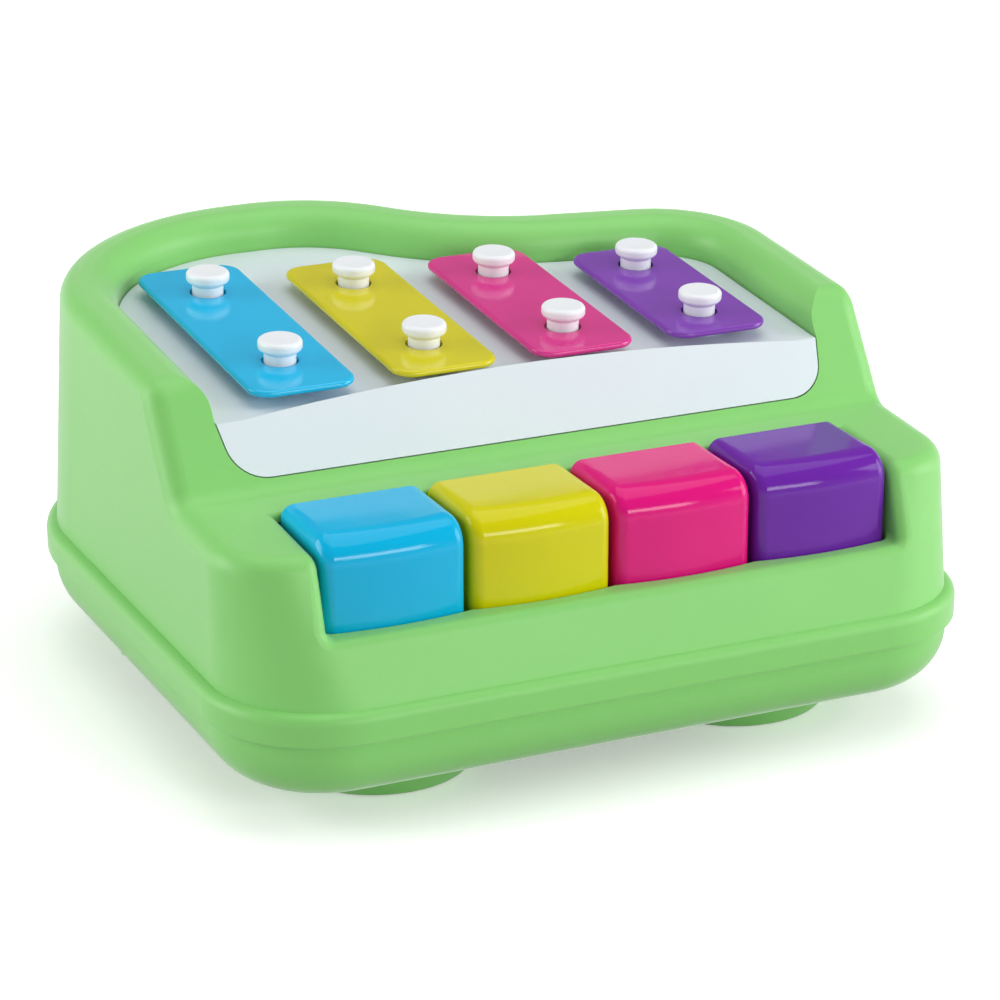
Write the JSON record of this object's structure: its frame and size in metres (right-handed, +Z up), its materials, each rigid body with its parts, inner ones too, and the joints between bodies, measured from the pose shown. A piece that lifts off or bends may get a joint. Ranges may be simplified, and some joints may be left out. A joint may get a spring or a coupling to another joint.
{
  "type": "toy piano",
  "caption": "Toy grand piano: sprung keys throw hammers up against chime bars held loosely on pegs over a tilted panel, in a moulded housing with an S-curve rim on a footed tray.",
  "frame": {"origin": "centre of the bounding box at the floor that the feet stand on", "axes": "+X to the player's right, along the row of keys; +Y away from the player; +Z up"},
  "size_m": [0.2324, 0.2244, 0.1198],
  "materials": {
    "green_plastic": "satin moulded polyethylene",
    "white_plastic": "satin moulded plastic",
    "pin_plastic": "gloss moulded plastic",
    "washer_rubber": "soft matt rubber",
    "steel": "drawn steel",
    "felt": "pressed felt",
    "hammer_plastic": "hard moulded plastic",
    "blue_enamel": "gloss enamel on steel",
    "blue_plastic": "high gloss moulded plastic",
    "yellow_enamel": "gloss enamel on steel",
    "yellow_plastic": "high gloss moulded plastic",
    "pink_enamel": "gloss enamel on steel",
    "pink_plastic": "high gloss moulded plastic",
    "purple_enamel": "gloss enamel on steel",
    "purple_plastic": "high gloss moulded plastic"
  },
  "bodies": {
    "housing": {"upper_shell": "green_plastic", "base_tray": "green_plastic", "soundboard": "white_plastic", "bar_pins": "pin_plastic", "bar_washers": "washer_rubber", "key_axle": "steel", "axle_caps": "steel", "rest_felt": "felt", "dip_felt": "felt", "base_screws": "steel", "spring_blue": "steel", "spring_yellow": "steel", "spring_pink": "steel", "spring_purple": "steel"},
    "blue_key": {"key_blue": "blue_plastic", "hammer_blue": "hammer_plastic"},
    "blue_bar": {"chime_bar_blue": "blue_enamel"},
    "yellow_key": {"key_yellow": "yellow_plastic", "hammer_yellow": "hammer_plastic"},
    "yellow_bar": {"chime_bar_yellow": "yellow_enamel"},
    "pink_key": {"key_pink": "pink_plastic", "hammer_pink": "hammer_plastic"},
    "pink_bar": {"chime_bar_pink": "pink_enamel"},
    "purple_key": {"key_purple": "purple_plastic", "hammer_purple": "hammer_plastic"},
    "purple_bar": {"chime_bar_purple": "purple_enamel"}
  },
  "joints": [
    {"name": "blue_key_press", "type": "hinge", "parent": "housing", "child": "blue_key", "pos_m": [0, -0.03, 0.062], "axis": [1, 0, 0], "range_deg": [0, 8], "stiffness_Nm_per_rad": 0.25, "springref_deg": -11.46, "deforming": ["spring_blue"]},
    {"name": "yellow_key_press", "type": "hinge", "parent": "housing", "child": "yellow_key", "pos_m": [0, -0.03, 0.062], "axis": [1, 0, 0], "range_deg": [0, 8], "stiffness_Nm_per_rad": 0.25, "springref_deg": -11.46, "deforming": ["spring_yellow"]},
    {"name": "pink_key_press", "type": "hinge", "parent": "housing", "child": "pink_key", "pos_m": [0, -0.03, 0.062], "axis": [1, 0, 0], "range_deg": [0, 8], "stiffness_Nm_per_rad": 0.25, "springref_deg": -11.46, "deforming": ["spring_pink"]},
    {"name": "purple_key_press", "type": "hinge", "parent": "housing", "child": "purple_key", "pos_m": [0, -0.03, 0.062], "axis": [1, 0, 0], "range_deg": [0, 8], "stiffness_Nm_per_rad": 0.25, "springref_deg": -11.46, "deforming": ["spring_purple"]},
    {"name": "blue_bar_lift", "type": "slide", "parent": "housing", "child": "blue_bar", "axis": [0, -0.068, 0.9977], "range_m": [0, 0.0028]},
    {"name": "yellow_bar_lift", "type": "slide", "parent": "housing", "child": "yellow_bar", "axis": [0, -0.068, 0.9977], "range_m": [0, 0.0028]},
    {"name": "pink_bar_lift", "type": "slide", "parent": "housing", "child": "pink_bar", "axis": [0, -0.068, 0.9977], "range_m": [0, 0.0028]},
    {"name": "purple_bar_lift", "type": "slide", "parent": "housing", "child": "purple_bar", "axis": [0, -0.068, 0.9977], "range_m": [0, 0.0028]}
  ]
}
